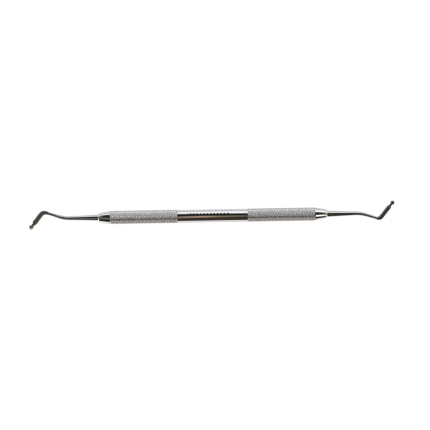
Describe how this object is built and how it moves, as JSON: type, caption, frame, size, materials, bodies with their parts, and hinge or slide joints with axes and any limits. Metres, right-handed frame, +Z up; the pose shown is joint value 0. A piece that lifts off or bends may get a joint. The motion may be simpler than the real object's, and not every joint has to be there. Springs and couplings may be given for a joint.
{
  "type": "dental hand scaler",
  "caption": "Double-ended dental hand instrument with a hollow knurled handle, tapered collars, bent shanks and dark ball-ended tips.",
  "frame": {"origin": "middle of the handle, on its axis", "axes": "+X along the handle to the smaller tip, +Y the side that the smaller tip points to, +Z up; both ends bend in the XY plane"},
  "size_m": [0.1722, 0.0108, 0.0062],
  "materials": {
    "core_steel": "drawn tube, unseen",
    "band_steel": "mirror polished stainless steel",
    "grip_steel": "satin, diamond knurled stainless steel",
    "collar_steel": "polished stainless steel",
    "braze": "silver braze, smooth",
    "shank_steel": "fine polished stainless steel",
    "tip_coating": "dark brown-grey satin hard coating"
  },
  "bodies": {
    "root": {"core_tube": "core_steel", "centre_band": "band_steel", "left_knurled_grip": "grip_steel", "right_knurled_grip": "grip_steel", "left_collar": "collar_steel", "right_collar": "collar_steel", "left_braze_ring": "braze", "right_braze_ring": "braze", "left_shank": "shank_steel", "right_shank": "shank_steel", "left_tip": "tip_coating", "right_tip": "tip_coating"}
  },
  "joints": []
}
